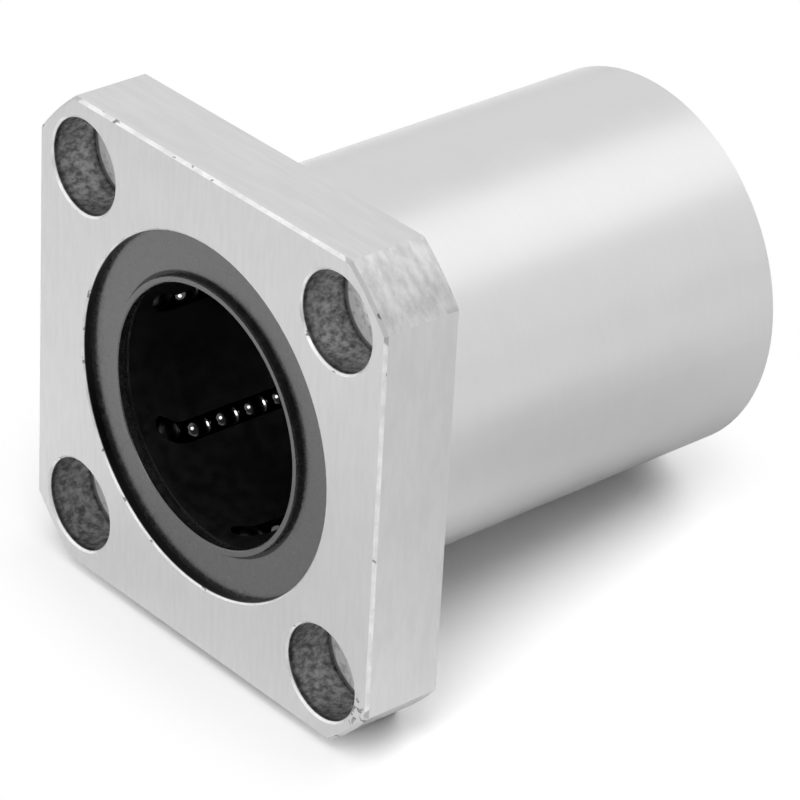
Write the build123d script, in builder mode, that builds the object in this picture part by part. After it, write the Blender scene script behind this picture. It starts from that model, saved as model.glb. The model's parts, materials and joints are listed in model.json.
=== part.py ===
from build123d import *
from math import acos, cos, degrees, radians, sin, sqrt
import os

os.makedirs("parts", exist_ok=True)

# Flanged linear ball bearing for a round shaft, in millimetres.
# The shaft axis is Y. The origin is where it crosses the flange's seating face,
# so the flange fills negative Y and the barrel runs towards +Y.

# Catalogue sizes
shaft_d = 30.0
radial_section = 7.5
bearing_length = 64.0
flange_disc_d = 74.0
flange_width = 58.0
flange_thickness = 10.0
bolt_circle_d = 60.0
bolt_count = 4
bolt_hole_d = 6.6
bolt_head_d = 11.0
bolt_head_depth = 6.1

# Balls and their circuits
ball_d = 3.969
circuit_count = 6
first_circuit_angle = 40.0
return_rise = 1.42
ball_gap = 0.061
turn_gap = 0.132

# Running clearances, all radial
channel_clearance = 0.06
race_clearance = 0.03
return_clearance = 0.12
cage_clearance = 0.10
shaft_to_cage = 0.40

# Seals, retaining rings and their seats
seat_wall = 1.70
seal_recess = 1.10
seal_thickness = 1.10
lip_rise = 0.80
lip_top_width = 0.55
lip_slope_width = 0.10
lip_land = 0.80
lip_corner = 0.12
lip_undercut = 0.60
ring_thickness = 0.90
ring_groove_depth = 0.60
ring_height = 1.90
ring_gap = 5.0

# Walls, lead-ins and edge breaks
cage_end_wall = 0.50
land_setback = 0.50
land_lead_in = 0.70
groove_side_gap = 0.35
flange_edge_break = 0.35
barrel_edge_break = 0.30
rim_edge_break = 0.25
hole_edge_break = 0.30
drill_edge_break = 0.20

# Radii worked out from the shaft outwards
shaft_r = shaft_d / 2
barrel_r = shaft_r + radial_section
ball_r = ball_d / 2
load_centre_r = shaft_r + ball_r
return_centre_r = load_centre_r + return_rise
channel_r = ball_r + channel_clearance
land_r = shaft_r + ball_d + race_clearance
return_groove_r = return_centre_r + ball_r + return_clearance
seat_r = barrel_r - seat_wall
ring_groove_r = seat_r + ring_groove_depth
ring_inner_r = ring_groove_r - ring_height
cage_bore_r = shaft_r + shaft_to_cage
cage_nose_r = ring_inner_r - cage_clearance
cage_collar_r = seat_r - cage_clearance
cage_waist_r = land_r - cage_clearance

# Stations along the axis, counted from the flange's front face
seal_back = seal_recess + seal_thickness
ring_back = seal_back + ring_thickness
ball_pitch = ball_d + ball_gap
turn_r = (ball_d + turn_gap) / sqrt(2)
straight_room = bearing_length - 2 * (seal_back + cage_end_wall + turn_r + channel_r)
balls_per_row = int(straight_room / ball_pitch)
straight_length = balls_per_row * ball_pitch
turn_station = (bearing_length - straight_length) / 2
land_station = turn_station + land_setback
collar_station = land_station - land_lead_in - cage_clearance
mid_station = bearing_length / 2

# Angle from a load row back to its return row, about the shaft axis
row_spacing = 2 * turn_r
return_angle = degrees(acos(
    (load_centre_r**2 + return_centre_r**2 - row_spacing**2)
    / (2 * load_centre_r * return_centre_r)
))
circuit_step = 360 / circuit_count


def cross_section(station):
    """The plane across the axis at this station, facing the front."""
    return Plane.XZ.offset(flange_thickness - station)


def turned(points):
    """Points of (radius, station) as X and Y of the plane that a turned profile is drawn on."""
    return [(radius, station - flange_thickness) for radius, station in points]


def around_axis(radius, angle):
    """The point at this radius and angle on the bearing's mid plane."""
    along = mid_station - flange_thickness
    return Vector(radius * cos(radians(angle)), along, radius * sin(radians(angle)))


def circuit_plane(index):
    """The flat plane of one ball circuit: local x runs from its load row to its return row."""
    angle = first_circuit_angle + index * circuit_step
    load_point = around_axis(load_centre_r, angle)
    return_point = around_axis(return_centre_r, angle - return_angle)
    across = (return_point - load_point).normalized()
    return Plane(
        origin=(load_point + return_point) / 2,
        x_dir=across,
        z_dir=across.cross(Vector(0, 1, 0)),
    )


def both_ends(front_half):
    """A profile of (radius, station) points, continued as its own mirror image at the rear."""
    return front_half + at_rear(reversed(front_half))


def at_rear(profile):
    """The same (radius, station) profile at the other end of the bearing."""
    return [(radius, bearing_length - station) for radius, station in profile]


circuit_planes = [circuit_plane(index) for index in range(circuit_count)]
row_stations = [(k - (balls_per_row - 1) / 2) * ball_pitch for k in range(balls_per_row)]
turn_offset = turn_r * cos(radians(45))

# Flanged sleeve: flange, barrel, raceway lands and end seats, turned from one bar
bore_profile = both_ends([
    (0, 0),
    (seat_r + rim_edge_break, 0),
    (seat_r, rim_edge_break),
    (seat_r, seal_back),
    (ring_groove_r, seal_back),
    (ring_groove_r, ring_back),
    (seat_r, ring_back),
    (seat_r, land_station - land_lead_in),
    (land_r, land_station),
])
return_groove_width = 2 * (channel_r + groove_side_gap)
land_length = bearing_length - 2 * land_station

with BuildPart() as flanged_sleeve:
    with BuildSketch(cross_section(0)):
        Circle(flange_disc_d / 2)
        Rectangle(flange_width, flange_width, mode=Mode.INTERSECT)
    extrude(amount=-flange_thickness)
    chamfer(flanged_sleeve.faces().sort_by(Axis.Y)[0].edges(), flange_edge_break)
    chamfer(flanged_sleeve.faces().sort_by(Axis.Y)[-1].edges(), flange_edge_break)
    with BuildSketch(cross_section(flange_thickness)):
        Circle(barrel_r)
    extrude(amount=-(bearing_length - flange_thickness))
    chamfer(flanged_sleeve.faces().sort_by(Axis.Y)[-1].edges(), barrel_edge_break)
    with BuildSketch(Plane.XY):
        with BuildLine():
            Polyline(*turned(bore_profile), close=True)
        make_face()
    revolve(axis=Axis.Y, mode=Mode.SUBTRACT)
    # Return grooves, one beside each raceway land
    with BuildSketch(cross_section(land_station - land_lead_in)):
        with PolarLocations(
            return_centre_r, circuit_count, start_angle=first_circuit_angle - return_angle
        ):
            Rectangle(2 * radial_section, return_groove_width)
        Circle(return_groove_r, mode=Mode.INTERSECT)
    extrude(amount=-(land_length + 2 * land_lead_in), mode=Mode.SUBTRACT)
    # Counterbored bolt holes
    with Locations(cross_section(0)):
        with PolarLocations(bolt_circle_d / 2, bolt_count, start_angle=45):
            CounterBoreHole(bolt_hole_d / 2, bolt_head_d / 2, bolt_head_depth, flange_thickness)
    head_rims = flanged_sleeve.edges().filter_by(GeomType.CIRCLE).filter_by(
        lambda edge: abs(edge.radius - bolt_head_d / 2) < 0.01
        and abs(edge.center().Y + flange_thickness) < 0.01
    )
    chamfer(head_rims, hole_edge_break)
    drill_rims = flanged_sleeve.edges().filter_by(GeomType.CIRCLE).filter_by(
        lambda edge: abs(edge.radius - bolt_hole_d / 2) < 0.01
        and abs(edge.center().Y) < 0.01
    )
    chamfer(drill_rims, drill_edge_break)
flanged_sleeve.part.label = "flanged_sleeve"
export_step(flanged_sleeve.part, "parts/flanged_sleeve.step")

# Ball channel: the closed track that one circuit runs in, in its own flat plane
with BuildPart() as ball_channel:
    with BuildLine(Plane.XY) as track:
        load_side = Line((-turn_r, -straight_length / 2), (-turn_r, straight_length / 2))
        rear_bend = ThreePointArc(
            load_side @ 1, (0, straight_length / 2 + turn_r), (turn_r, straight_length / 2)
        )
        return_side = Line(rear_bend @ 1, (turn_r, -straight_length / 2))
        ThreePointArc(return_side @ 1, (0, -straight_length / 2 - turn_r), load_side @ 0)
    with BuildSketch(Plane(origin=load_side @ 0, z_dir=(0, 1, 0))):
        Circle(channel_r)
    sweep(path=track.wire())

# Ball retainer: moulded cage with a track for each circuit, open to the shaft on its load side
cage_profile = both_ends([
    (cage_bore_r, seal_back),
    (cage_nose_r, seal_back),
    (cage_nose_r, ring_back),
    (cage_collar_r, ring_back),
    (cage_collar_r, collar_station),
    (cage_waist_r, collar_station),
])

with BuildPart() as ball_retainer:
    with BuildSketch(Plane.XY):
        with BuildLine():
            Polyline(*turned(cage_profile), close=True)
        make_face()
    revolve(axis=Axis.Y)
    with Locations(*[plane.location for plane in circuit_planes]):
        add(ball_channel.part, mode=Mode.SUBTRACT)
ball_retainer.part.label = "ball_retainer"
export_step(ball_retainer.part, "parts/ball_retainer.step")

# End seals: rubber discs with a raised wiping lip that meets the shaft
lip_tip = seal_recess - lip_rise
lip_top_r = shaft_r + lip_corner + lip_top_width
seal_profile = [
    (seat_r, seal_recess),
    (seat_r, seal_back),
    (shaft_r + lip_undercut, seal_back),
    (shaft_r + lip_undercut, lip_tip + lip_corner + lip_land + lip_undercut),
    (shaft_r, lip_tip + lip_corner + lip_land),
    (shaft_r, lip_tip + lip_corner),
    (shaft_r + lip_corner, lip_tip),
    (lip_top_r, lip_tip),
    (lip_top_r + lip_slope_width, seal_recess),
]

with BuildPart() as front_seal:
    with BuildSketch(Plane.XY):
        with BuildLine():
            Polyline(*turned(seal_profile), close=True)
        make_face()
    revolve(axis=Axis.Y)
front_seal.part.label = "front_seal"
export_step(front_seal.part, "parts/front_seal.step")

with BuildPart() as rear_seal:
    with BuildSketch(Plane.XY):
        with BuildLine():
            Polyline(*turned(at_rear(seal_profile)), close=True)
        make_face()
    revolve(axis=Axis.Y)
rear_seal.part.label = "rear_seal"
export_step(rear_seal.part, "parts/rear_seal.step")

# Retaining rings: open snap rings in the sleeve's grooves, behind the seals
with BuildSketch() as ring_outline:
    Circle(ring_groove_r)
    Circle(ring_inner_r, mode=Mode.SUBTRACT)
    with Locations((0, ring_groove_r)):
        Rectangle(ring_gap, 4 * ring_height, mode=Mode.SUBTRACT)

with BuildPart() as front_retaining_ring:
    with BuildSketch(cross_section(seal_back)):
        add(ring_outline.sketch)
    extrude(amount=-ring_thickness)
front_retaining_ring.part.label = "front_retaining_ring"
export_step(front_retaining_ring.part, "parts/front_retaining_ring.step")

with BuildPart() as rear_retaining_ring:
    with BuildSketch(cross_section(bearing_length - seal_back)):
        add(ring_outline.sketch)
    extrude(amount=ring_thickness)
rear_retaining_ring.part.label = "rear_retaining_ring"
export_step(rear_retaining_ring.part, "parts/rear_retaining_ring.step")

# Ball circuits: each is a loaded row, a return row and the balls in its two turns
circuit_groups = {
    "load_row": [(-turn_r, station) for station in row_stations],
    "return_row": [(turn_r, station) for station in row_stations],
    "front_turn": [
        (side * turn_offset, -straight_length / 2 - turn_offset) for side in (-1, 1)
    ],
    "rear_turn": [
        (side * turn_offset, straight_length / 2 + turn_offset) for side in (-1, 1)
    ],
}

for number, plane in enumerate(circuit_planes, start=1):
    for group, centres in circuit_groups.items():
        with BuildPart(plane) as balls:
            with Locations(*centres):
                Sphere(ball_r)
        balls.part.label = f"{group}_{number}"
        export_step(balls.part, f"parts/{group}_{number}.step")
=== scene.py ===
import json
from math import cos, pi, radians

import bpy
from mathutils import Matrix, Vector


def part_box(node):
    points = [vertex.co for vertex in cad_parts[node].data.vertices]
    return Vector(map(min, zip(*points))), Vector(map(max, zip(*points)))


# Looks of a flanged linear bearing. Metres, in the CAD frame: the shaft axis is Y, the flange's
# seating face is at y = 0, and the barrel runs towards +Y.
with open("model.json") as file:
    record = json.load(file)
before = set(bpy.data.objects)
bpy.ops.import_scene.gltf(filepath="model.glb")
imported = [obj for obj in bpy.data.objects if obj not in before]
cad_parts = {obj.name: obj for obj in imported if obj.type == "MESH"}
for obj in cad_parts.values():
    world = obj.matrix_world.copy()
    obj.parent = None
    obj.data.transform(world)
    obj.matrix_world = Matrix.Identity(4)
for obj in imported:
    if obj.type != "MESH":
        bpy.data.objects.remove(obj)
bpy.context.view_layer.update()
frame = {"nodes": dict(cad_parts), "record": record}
nodes = frame["nodes"]

# Sizes read from the frame
sleeve_low, sleeve_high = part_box("flanged_sleeve")
mounts = {mount["name"]: mount["dims"] for mount in frame["record"]["mounts"]}
flange_half = sleeve_high.z
flange_front = sleeve_low.y
barrel_end = sleeve_high.y
barrel_r = mounts["housing_spigot"]["r_mm"] / 1000
bolt_offset = mounts["flange_bolts"]["pcd_mm"] / 2000 * cos(radians(45))
seat_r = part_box("front_seal")[1].x

# Sizes that the frame doesn't name: edge breaks, counterbores, where the corner arcs' edges start,
# the band of painted shade round a seal's lip, from its inner edge (start, full) to its outer
# (full, end), and the pits beside the lower right hole
FLANGE_BREAK = 0.00035
BARREL_BREAK = 0.0003
HEAD_R = 0.0055
HEAD_DEPTH = 0.0061
CORNER_EDGE_R = 0.0362
LIP_SHADE_INNER = (0.01568, 0.01572)
LIP_SHADE_OUTER = (0.0161, 0.0163)
PIT_PLACE = Vector((0.0268, flange_front, -0.0228))
PIT_REACH = (0.0026, 0.0014)
head_floor = flange_front + HEAD_DEPTH

# Tones of the sleeve's surfaces: the share of light given back. A pair is a noise's low and high.
STEEL_TONE = 0.655
FACE_STREAK = 0.036
BARREL_STREAK = 0.010
CLOUD_SHIFT = (-0.008, 0.008)
# Painted shade: the flange's flanks are darker
PAINTED_SIDE_SHADE = -0.03
# Painted light: the front face is paler toward its lower edge
PAINTED_LOWER_FACE_LIGHT = 0.05
ARC_SHIFT = (-0.22, -0.05)
# Broken edges are pale partly from wear and partly as painted highlight; upright ones get painted
# shade
EDGE_TONE = (0.78, 1.0)
CORNER_EDGE_TONE = 0.66
UPRIGHT_EDGE_SHADE_SHARE = 0.82
NICK_TONE = 0.30
PIT_TONE = 0.30
# Counterbores: grainy walls darkened as painted shade, most at the rim and where wall meets floor
SHADED_HOLE_WALL_TONE = (0.16, 0.56)
# Painted light: the counterbore floors are paler than the ground steel
PAINTED_LIGHT_HOLE_FLOOR_TONE = (0.84, 1.0)
HOLE_SHADE_SHARE = 0.35
FLOOR_RIM_SHADE_SHARE = 0.5
# Painted shade: the sleeve's bore is near black
BORE_SHADE_TONE = 0.04

# Roughness and relief of the sleeve's surfaces
STEEL_ROUGHNESS = 0.34
CLOUD_ROUGHNESS = (-0.02, 0.02)
EDGE_ROUGHNESS = 0.45
CORNER_EDGE_ROUGHNESS = 0.75
HOLE_WALL_ROUGHNESS = 0.5
HOLE_FLOOR_ROUGHNESS = 1.0
BARREL_RELIEF_SHARE = 0.3
HOLE_RELIEF_SHARE = 8.0
STEEL_RELIEF = 0.000006

# Light: the matt fill, the dim side of the room behind the photographer, and where lamps aim
FILL_LEVEL = 0.30
ROOM_SIDE = Vector((0.67, -0.57, 0.50))
ROOM_SPREAD = (0.72, 0.92)
ROOM_LEVEL = 0.15
LIGHT_AIM = Vector((0, 0.02, 0))
FRONT_LIGHT_SIDE = (0.35, -0.75, 0.55)
OVERHEAD_DISTANCE = 0.8
OVERHEAD_WIDTH = 0.56
OVERHEAD_RADIANCE = 4.3

# Floor: its half width, its tone for matt light, and where the camera's view of it fades to white
FLOOR_HALF = 1.5
FLOOR_MATT_TONE = 0.85
FADE_STRETCH = (0.6, 1, 1)
FADE_CENTRE = (0, -0.006, 0)
FADE_REACH = (0.026, 0.044)

# Camera, found from the photograph: where it stands, where it looks, its roll and its lens
CAMERA_PLACE = Vector((0.309813, -0.261734, 0.231942))
CAMERA_FORWARD = Vector((-0.64349, 0.58213, -0.49703))
CAMERA_UP = Vector((-0.40477, 0.29234, 0.86643))
CAMERA_LENS = 194.45
CAMERA_SENSOR = 36.0
CAMERA_CLIP = (0.01, 20)


def turned_to(back):
    """The rotation of a camera or lamp that looks away from back, upright as the photo's camera."""
    back = back.normalized()
    right = CAMERA_UP.cross(back).normalized()
    return Matrix((right, back.cross(right), back)).transposed().to_4x4()


def make_camera():
    """The camera at the photograph's viewing angle."""
    data = bpy.data.cameras.new("camera")
    data.lens = CAMERA_LENS
    data.sensor_width = CAMERA_SENSOR
    data.clip_start, data.clip_end = CAMERA_CLIP
    camera = bpy.data.objects.new("camera", data)
    bpy.context.scene.collection.objects.link(camera)
    camera.matrix_world = Matrix.Translation(CAMERA_PLACE) @ turned_to(-CAMERA_FORWARD)
    bpy.context.scene.camera = camera


def add_node(tree, kind, inputs=None, **settings):
    """A new node with these settings. An input is a value, or a socket to link."""
    node = tree.nodes.new(kind)
    for name, value in settings.items():
        setattr(node, name, value)
    for name, value in (inputs or {}).items():
        if isinstance(value, bpy.types.NodeSocket):
            tree.links.new(value, node.inputs[name])
        else:
            node.inputs[name].default_value = value
    return node


def math(tree, operation, *values):
    """The result of one Math node."""
    node = add_node(tree, "ShaderNodeMath", dict(enumerate(values)), operation=operation)
    return node.outputs[0]


def product(tree, *values):
    """All values multiplied together."""
    result = values[0]
    for value in values[1:]:
        result = math(tree, "MULTIPLY", result, value)
    return result


def shifted(tree, value, share, shift):
    """The value with share times shift added."""
    return math(tree, "MULTIPLY_ADD", share, shift, value)


def ramp(tree, value, low, high, to_low=0.0, to_high=1.0):
    """Value mapped smoothly from low..high to to_low..to_high, and held outside that range."""
    node = add_node(
        tree,
        "ShaderNodeMapRange",
        {"Value": value, "From Min": low, "From Max": high, "To Min": to_low, "To Max": to_high},
        interpolation_type="SMOOTHSTEP",
    )
    return node.outputs["Result"]


def spread(tree, value, to_low, to_high):
    """A noise's usual range mapped to to_low..to_high."""
    return ramp(tree, value, 0.3, 0.7, to_low, to_high)


def mix(tree, share, low, high):
    """Low where share is 0, high where it is 1."""
    node = add_node(tree, "ShaderNodeMix", {0: share, 2: low, 3: high})
    return node.outputs[0]


def stretched(tree, point, scale):
    """The point with each axis multiplied by its own scale."""
    node = add_node(tree, "ShaderNodeVectorMath", {0: point, 1: scale}, operation="MULTIPLY")
    return node.outputs[0]


def distance(tree, point, place):
    """Distance between the point and a place."""
    node = add_node(tree, "ShaderNodeVectorMath", {0: point, 1: place}, operation="DISTANCE")
    return node.outputs["Value"]


def axes_of(tree, vector):
    """The vector's X, Y and Z."""
    return add_node(tree, "ShaderNodeSeparateXYZ", {"Vector": vector}).outputs


def object_point(tree):
    """The surface point in the part's own frame."""
    return add_node(tree, "ShaderNodeTexCoord").outputs["Object"]


def axis_distance(tree, point):
    """The point's distance from the shaft axis."""
    flat = stretched(tree, point, (1, 0, 1))
    return add_node(tree, "ShaderNodeVectorMath", {0: flat}, operation="LENGTH").outputs["Value"]


def noise(tree, point, scale, detail=2.0, roughness=0.5):
    """Noise of about 0 to 1 in features of 1/scale metres: one scale, or one for each axis."""
    if not isinstance(scale, tuple):
        scale = (scale, scale, scale)
    node = add_node(
        tree,
        "ShaderNodeTexNoise",
        {
            "Vector": stretched(tree, point, scale),
            "Scale": 1.0,
            "Detail": detail,
            "Roughness": roughness,
        },
    )
    return node.outputs["Fac"]


def grey(tree, value):
    """A neutral colour from one number."""
    node = add_node(tree, "ShaderNodeCombineColor", {"Red": value, "Green": value, "Blue": value})
    return node.outputs["Color"]


def bump(tree, height, reach):
    """The normal bent by a height map whose full range is reach metres."""
    node = add_node(tree, "ShaderNodeBump", {"Height": height, "Distance": reach, "Strength": 1.0})
    return node.outputs["Normal"]


def new_material(name):
    """A material with a Principled shader, and its node tree."""
    material = bpy.data.materials.new(name)
    material.use_nodes = True
    tree = material.node_tree
    return material, tree, tree.nodes["Principled BSDF"]


def finish_shader(tree, shader, tone, rough, normal=None):
    """Links a neutral tone, a roughness and a bent normal to a shader."""
    tree.links.new(grey(tree, tone), shader.inputs["Base Color"])
    tree.links.new(rough, shader.inputs["Roughness"])
    if normal is not None:
        tree.links.new(normal, shader.inputs["Normal"])


def bolt_distance(tree, axes):
    """Distance from the nearest bolt's axis."""
    away = [
        math(tree, "SUBTRACT", math(tree, "ABSOLUTE", axes[name]), bolt_offset)
        for name in ("X", "Z")
    ]
    squares = [math(tree, "POWER", value, 2.0) for value in away]
    return math(tree, "SQRT", math(tree, "ADD", *squares))


def sleeve_zones(tree, axes, radius, from_bolt):
    """Masks of the sleeve's surfaces, each 1 on its own surface and 0 elsewhere."""
    normal = axes_of(tree, add_node(tree, "ShaderNodeTexCoord").outputs["Normal"])
    across, along, upward = (math(tree, "ABSOLUTE", normal[name]) for name in "XYZ")
    in_flange = ramp(tree, axes["Y"], -0.0001, -0.0003)
    barrel = ramp(tree, axes["Y"], 0.0001, 0.0003)
    off_barrel = math(tree, "SUBTRACT", 1.0, barrel)
    top = ramp(tree, upward, 0.85, 0.95)
    side = ramp(tree, across, 0.85, 0.95)
    flat = math(tree, "MAXIMUM", ramp(tree, along, 0.2, 0.4), math(tree, "MAXIMUM", top, side))
    flank = product(tree, side, off_barrel)
    return {
        "barrel": barrel,
        "top": top,
        "flank": flank,
        "face": math(tree, "SUBTRACT", off_barrel, flank),
        "arc": product(tree, in_flange, math(tree, "SUBTRACT", 1.0, flat)),
        "edge": product(tree, ramp(tree, along, 0.4, 0.6), ramp(tree, along, 0.95, 0.85)),
        "upright_edge": ramp(tree, across, 0.6, 0.7),
        "corner": ramp(tree, radius, CORNER_EDGE_R, CORNER_EDGE_R + 0.0002),
        "hole": product(tree, ramp(tree, from_bolt, HEAD_R + 0.0001, HEAD_R), in_flange),
        "hole_floor": ramp(tree, axes["Y"], head_floor - 0.0003, head_floor - 0.0001),
        "bore": ramp(tree, radius, seat_r + 0.0001, seat_r),
    }


def ground_finish(tree, point, zones):
    """Grinding marks: upright on the flange's faces, level on its top, round the barrel."""
    upright = noise(tree, point, (1500, 900, 240), detail=4, roughness=0.6)
    level = noise(tree, point, (150, 1500, 1500), detail=3)
    turned = noise(tree, point, (120, 5000, 120), detail=2)
    return mix(tree, zones["barrel"], mix(tree, zones["top"], upright, level), turned)


def ground_tone(tree, point, axes, zones, ground, cloud):
    """Ground tone: streaks, clouds, pits, painted shade on flanks, painted light low on the front.
    """
    streak = mix(tree, zones["barrel"], FACE_STREAK, BARREL_STREAK)
    tone = shifted(tree, STEEL_TONE, spread(tree, ground, -0.5, 0.5), streak)
    tone = math(tree, "ADD", tone, spread(tree, cloud, *CLOUD_SHIFT))
    # Painted shade on the flanks
    tone = shifted(tree, tone, zones["flank"], PAINTED_SIDE_SHADE)
    # Painted light: the front face grows paler toward the flange's lower edge
    lower = ramp(tree, axes["Z"], -flange_half, 0.0, PAINTED_LOWER_FACE_LIGHT, 0.0)
    tone = shifted(tree, tone, lower, zones["face"])
    pits = ramp(tree, noise(tree, point, 1400), 0.53, 0.58)
    near = ramp(tree, distance(tree, point, PIT_PLACE), *PIT_REACH)
    return mix(tree, product(tree, pits, near), tone, PIT_TONE)


def edge_tone(tree, point, zones, smear):
    """Broken edges: worn and painted highlight, duller at corner arcs, painted shade upright, with
    nicks.
    """
    worn_and_highlit = mix(tree, zones["corner"], spread(tree, smear, *EDGE_TONE), CORNER_EDGE_TONE)
    # Painted shade on the upright edges
    worn_and_highlit = product(tree, worn_and_highlit, mix(tree, zones["upright_edge"], 1.0, UPRIGHT_EDGE_SHADE_SHARE))
    nicks = ramp(tree, noise(tree, point, (420, 700, 700)), 0.64, 0.67)
    return mix(tree, nicks, worn_and_highlit, NICK_TONE)


def hole_tone(tree, point, axes, zones, from_bolt, mottle):
    """Counterbore tone: grainy walls in painted shade, darkest at rim and floor, a floor in painted
    light.
    """
    grain = noise(tree, point, (1500, 1100, 1500), detail=4, roughness=0.65)
    # Painted shade at the counterbore's rim and floor
    at_rim = ramp(tree, axes["Y"], flange_front + 0.0005, flange_front + 0.0011, HOLE_SHADE_SHARE, 1.0)
    at_floor = ramp(tree, axes["Y"], head_floor - 0.0008, head_floor - 0.0003, 1.0, HOLE_SHADE_SHARE)
    wall = product(tree, spread(tree, grain, *SHADED_HOLE_WALL_TONE), product(tree, at_rim, at_floor))
    # Painted shade near the floor's rim, painted light across the floor
    inward = ramp(tree, from_bolt, HEAD_R, HEAD_R - 0.0003, FLOOR_RIM_SHADE_SHARE, 1.0)
    floor = product(tree, ramp(tree, mottle, 0.35, 0.55, *PAINTED_LIGHT_HOLE_FLOOR_TONE), inward)
    return mix(tree, zones["hole_floor"], wall, floor)


def sleeve_roughness(tree, zones, cloud):
    """Roughness of the ground faces, the broken edges and the counterbores."""
    rough = math(tree, "ADD", spread(tree, cloud, *CLOUD_ROUGHNESS), STEEL_ROUGHNESS)
    edge = mix(tree, zones["corner"], EDGE_ROUGHNESS, CORNER_EDGE_ROUGHNESS)
    hole = mix(tree, zones["hole_floor"], HOLE_WALL_ROUGHNESS, HOLE_FLOOR_ROUGHNESS)
    return mix(tree, zones["hole"], mix(tree, zones["edge"], rough, edge), hole)


def sleeve_relief(tree, zones, ground, mottle):
    """Height of the surface: grinding marks, mottled corner arcs and coarse counterbores."""
    faint = product(tree, ground, BARREL_RELIEF_SHARE)
    relief = mix(tree, zones["barrel"], ground, faint)
    relief = mix(tree, zones["arc"], relief, mottle)
    return mix(tree, zones["hole"], relief, product(tree, mottle, HOLE_RELIEF_SHARE))


def sleeve_steel():
    """Bearing steel: ground flange and barrel, rougher corner arcs, recesses near black as painted
    shade.
    """
    material, tree, shader = new_material("sleeve_steel")
    shader.inputs["Metallic"].default_value = 1.0
    point = object_point(tree)
    axes = axes_of(tree, point)
    from_bolt = bolt_distance(tree, axes)
    zones = sleeve_zones(tree, axes, axis_distance(tree, point), from_bolt)
    ground = ground_finish(tree, point, zones)
    cloud = noise(tree, point, 160)
    mottle = noise(tree, point, (900, 1400, 900), detail=4, roughness=0.6)
    smear = noise(tree, point, (380, 700, 380), detail=4, roughness=0.6)
    tone = ground_tone(tree, point, axes, zones, ground, cloud)
    arc = math(tree, "ADD", spread(tree, smear, *ARC_SHIFT), STEEL_TONE)
    tone = mix(tree, zones["arc"], tone, arc)
    tone = mix(tree, zones["edge"], tone, edge_tone(tree, point, zones, smear))
    hole = hole_tone(tree, point, axes, zones, from_bolt, mottle)
    tone = mix(tree, zones["hole"], tone, hole)
    # Painted shade inside the bore
    tone = mix(tree, zones["bore"], tone, BORE_SHADE_TONE)
    normal = bump(tree, sleeve_relief(tree, zones, ground, mottle), STEEL_RELIEF)
    finish_shader(tree, shader, tone, sleeve_roughness(tree, zones, cloud), normal)
    return material


def seal_rubber():
    """Black nitrile rubber, satin moulded face, and a dark specular tint as painted shade at the
    lip's foot.
    """
    material, tree, shader = new_material("seal_rubber")
    shader.inputs["IOR"].default_value = 2.15
    point = object_point(tree)
    radius = axis_distance(tree, point)
    cloud = noise(tree, point, 900, detail=4)
    # Painted shade: the rubber's reflection is tinted dark round the foot of the lip
    shaded_foot = product(
        tree, ramp(tree, radius, *LIP_SHADE_INNER), ramp(tree, radius, *reversed(LIP_SHADE_OUTER))
    )
    tint = grey(tree, mix(tree, shaded_foot, 1.0, 0.1))
    tree.links.new(tint, shader.inputs["Specular Tint"])
    tone = spread(tree, cloud, 0.008, 0.014)
    rough = spread(tree, cloud, 0.22, 0.30)
    finish_shader(tree, shader, tone, rough, bump(tree, cloud, 0.000002))
    return material


def retainer_resin():
    """Black moulded resin of the ball cage."""
    material, tree, shader = new_material("retainer_resin")
    cloud = noise(tree, object_point(tree), 700, detail=3)
    tone = spread(tree, cloud, 0.004, 0.008)
    rough = spread(tree, cloud, 0.30, 0.42)
    finish_shader(tree, shader, tone, rough, bump(tree, cloud, 0.000008))
    return material


def clouded_metal(name, scale, tones, roughness):
    """Plain metal whose tone and roughness drift between their two ends."""
    material, tree, shader = new_material(name)
    shader.inputs["Metallic"].default_value = 1.0
    cloud = noise(tree, object_point(tree), scale, detail=3)
    finish_shader(tree, shader, spread(tree, cloud, *tones), spread(tree, cloud, *roughness))
    return material


def dress(names, material):
    """Gives CAD nodes a material in place of their own."""
    for name in names:
        slots = nodes[name].data.materials
        slots.clear()
        slots.append(material)


def floor_frame():
    """The plane that the bearing lies on: it touches the lowest rear edges of flange and barrel."""
    flange_edge = Vector((0, -FLANGE_BREAK, -flange_half))
    barrel_edge = Vector((0, barrel_end - BARREL_BREAK, -barrel_r))
    along = (barrel_edge - flange_edge).normalized()
    across = Vector((1, 0, 0))
    normal = across.cross(along)
    middle = (flange_edge + barrel_edge) / 2
    return Matrix.Translation(middle) @ Matrix((across, along, normal)).transposed().to_4x4()


def mirror_rays(path):
    """1 for rays from a mirror or through glass, 0 for others."""
    tree = path.id_data
    outputs = path.outputs
    return math(tree, "MAXIMUM", outputs["Is Glossy Ray"], outputs["Is Transmission Ray"])


def floor_painted_mirror_tone(tree, axes):
    """Floor tone in metal: white in front, painted shadow beside the part and under its barrel."""
    beside = math(tree, "SUBTRACT", axes["X"], axes["Y"])
    painted_shadow = ramp(tree, beside, 0.045, 0.058, 0.62, 0.78)
    tone = ramp(tree, math(tree, "ADD", axes["X"], axes["Y"]), -0.02, 0.05, 1.0, painted_shadow)
    # Painted light: the floor behind the part is paler in metal
    return math(tree, "ADD", tone, ramp(tree, axes["Y"], 0.02, 0.07, 0.0, 0.18))


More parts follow.
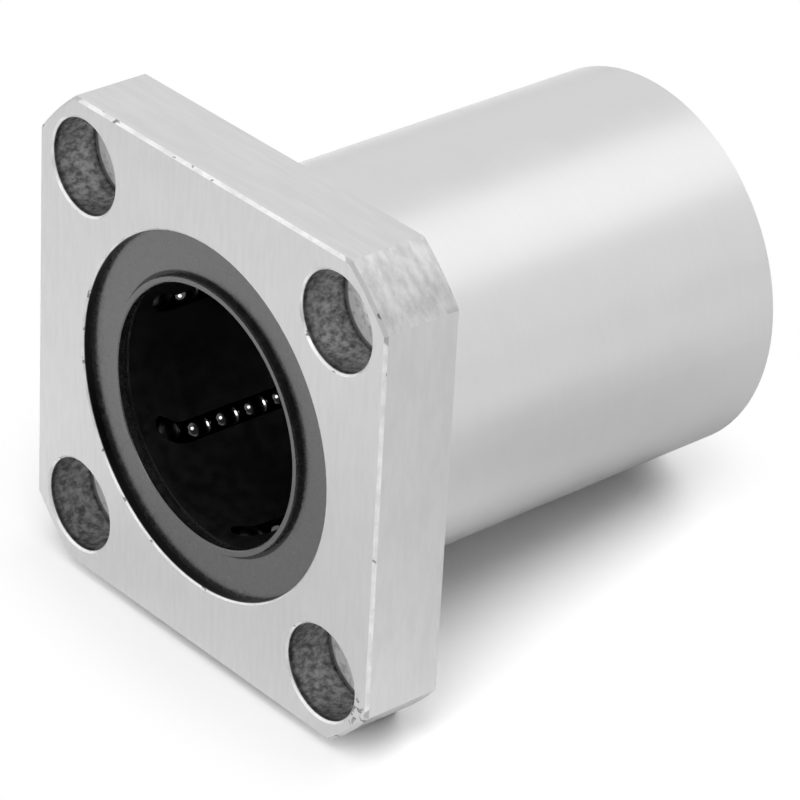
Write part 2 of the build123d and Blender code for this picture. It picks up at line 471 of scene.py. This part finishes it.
def floor_white():
    """White table top: lit near the part, plain white further off, and clear from beneath."""
    material, tree, shader = new_material("floor")
    path = add_node(tree, "ShaderNodeLightPath")
    camera_ray = path.outputs["Is Camera Ray"]
    point = object_point(tree)
    # The floor's tone in metal carries a painted shadow and painted light
    mirrored = floor_painted_mirror_tone(tree, axes_of(tree, point))
    tone = mix(tree, mirror_rays(path), FLOOR_MATT_TONE, mirrored)
    tone = mix(tree, camera_ray, tone, 1.0)
    lit = add_node(tree, "ShaderNodeBsdfDiffuse", {"Color": grey(tree, tone)}).outputs[0]
    white = add_node(tree, "ShaderNodeEmission", {"Strength": 1.0}).outputs[0]
    clear = add_node(tree, "ShaderNodeBsdfTransparent").outputs[0]
    away = distance(tree, stretched(tree, point, FADE_STRETCH), FADE_CENTRE)
    far = product(tree, ramp(tree, away, *FADE_REACH), camera_ray)
    beneath = add_node(tree, "ShaderNodeNewGeometry").outputs["Backfacing"]
    surface = add_node(tree, "ShaderNodeMixShader", {0: far, 1: lit, 2: white}).outputs[0]
    surface = add_node(tree, "ShaderNodeMixShader", {0: beneath, 1: surface, 2: clear}).outputs[0]
    tree.nodes.remove(shader)
    tree.links.new(surface, tree.nodes["Material Output"].inputs["Surface"])
    return material


def make_floor():
    """The table top that the bearing lies on."""
    mesh = bpy.data.meshes.new("floor")
    sides = ((-1, -1), (1, -1), (1, 1), (-1, 1))
    corners = [(x * FLOOR_HALF, y * FLOOR_HALF, 0) for x, y in sides]
    mesh.from_pydata(corners, [], [(0, 1, 2, 3)])
    mesh.materials.append(floor_white())
    floor = bpy.data.objects.new("floor", mesh)
    bpy.context.scene.collection.objects.link(floor)
    floor.matrix_world = floor_frame()


def make_world():
    """White where seen or mirrored, dimmer behind the photographer, and a softer matt fill."""
    world = bpy.data.worlds.new("world")
    bpy.context.scene.world = world
    world.use_nodes = True
    tree = world.node_tree
    path = add_node(tree, "ShaderNodeLightPath")
    toward = add_node(tree, "ShaderNodeTexCoord").outputs["Generated"]
    side = ROOM_SIDE.normalized()
    room = add_node(tree, "ShaderNodeVectorMath", {0: toward, 1: side}, operation="DOT_PRODUCT")
    dim = ramp(tree, room.outputs["Value"], *ROOM_SPREAD)
    level = mix(tree, mirror_rays(path), FILL_LEVEL, shifted(tree, 1.0, dim, ROOM_LEVEL - 1))
    level = mix(tree, path.outputs["Is Camera Ray"], level, 1.0)
    background = tree.nodes["Background"]
    background.inputs["Color"].default_value = (1, 1, 1, 1)
    tree.links.new(level, background.inputs["Strength"])


def make_light(name, side, away, width, radiance, mirrored=True, lights=True):
    """A round soft lamp. mirrored: metal shows it. lights: matt surfaces show it too."""
    data = bpy.data.lights.new(name, "AREA")
    data.shape = "DISK"
    data.size = width
    data.energy = pi * radiance * pi * width**2 / 4
    light = bpy.data.objects.new(name, data)
    bpy.context.scene.collection.objects.link(light)
    back = Vector(side).normalized()
    light.matrix_world = Matrix.Translation(LIGHT_AIM + back * away) @ turned_to(back)
    light.visible_camera = False
    light.visible_glossy = mirrored
    light.visible_diffuse = lights
    return light


def make_overhead(name, side):
    """A large lamp above, for the floor and other matt things alone."""
    make_light(name, side, OVERHEAD_DISTANCE, OVERHEAD_WIDTH, OVERHEAD_RADIANCE, mirrored=False)


def make_glint(names, name, side, away, width, radiance):
    """A small lamp that reaches these nodes alone."""
    light = make_light(name, side, away, width, radiance)
    reached = bpy.data.collections.new(name + "_reaches")
    for node_name in names:
        reached.objects.link(nodes[node_name])
    light.light_linking.receiver_collection = reached


row_balls = [name for name in nodes if name.split("_")[1] == "row"]
turn_balls = [name for name in nodes if name.split("_")[1] == "turn"]

make_camera()
dress(["flanged_sleeve"], sleeve_steel())
dress(["front_seal", "rear_seal"], seal_rubber())
dress(["ball_retainer"], retainer_resin())
ring_steel = clouded_metal("ring_steel", 1200, (0.10, 0.16), (0.40, 0.50))
dress(["front_retaining_ring", "rear_retaining_ring"], ring_steel)
# Painted shade: the balls in the rows and turns are far darker than bright steel
dress(row_balls, clouded_metal("shaded_ball_steel", 1500, (0.08, 0.10), (0.05, 0.08)))
dress(turn_balls, clouded_metal("shaded_turn_ball_steel", 1500, (0.012, 0.03), (0.25, 0.35)))
make_floor()
make_world()
make_overhead("overhead_front", (0.28, -0.4, 1.0))
make_overhead("overhead_back", (0.28, 0.9, 1.0))
make_light("softbox", (0.17, 0.58, 0.795), 0.5, 0.37, 0.45, lights=False)
make_light("front_light", FRONT_LIGHT_SIDE, 0.5, 0.24, 2.0)
make_glint(row_balls, "front_spark", FRONT_LIGHT_SIDE, 0.49, 0.15, 14.0)
make_glint(["load_row_3"], "low_spark", (0.12, -0.95, -0.28), 0.048, 0.016, 14.0)
make_glint(row_balls, "bore_light", (0.2, 1.0, 0.25), 0.3, 0.12, 16.0)

bpy.context.scene.view_settings.view_transform = "Standard"
